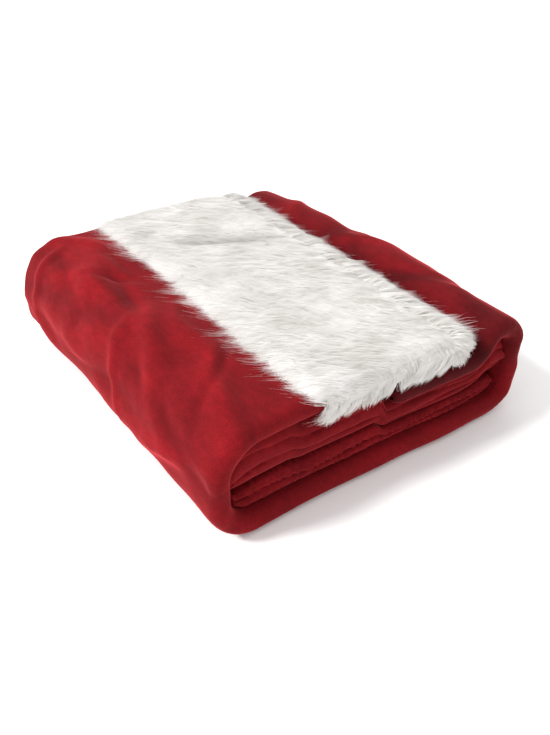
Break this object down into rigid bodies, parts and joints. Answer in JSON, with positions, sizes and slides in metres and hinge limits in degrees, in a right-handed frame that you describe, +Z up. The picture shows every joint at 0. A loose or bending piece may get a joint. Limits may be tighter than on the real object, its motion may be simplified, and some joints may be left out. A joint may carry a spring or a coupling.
{
  "type": "folded santa suit",
  "caption": "Folded red velvet suit: a lined jacket with a wide white plush hem, folded in three round its folded trousers, lying flat as a soft rectangular pack.",
  "frame": {"origin": "centre of the pack's underside, on the surface it rests on", "axes": "+X across the pack from the folded edge above which the hem starts, +Y along the hem, +Z up"},
  "size_m": [0.3515, 0.4265, 0.1179],
  "materials": {
    "velvet": "red velvet, short dense pile with a soft sheen",
    "plush": "white long-pile plush, hair combed across the band"
  },
  "bodies": {
    "root": {"jacket_back": "velvet", "jacket_left_front": "velvet", "jacket_right_front": "velvet", "jacket_inner_layers": "velvet", "hem_trim": "plush", "trouser_legs": "velvet", "waistband": "velvet", "ankle_trim_left": "plush", "ankle_trim_right": "plush"}
  },
  "joints": []
}
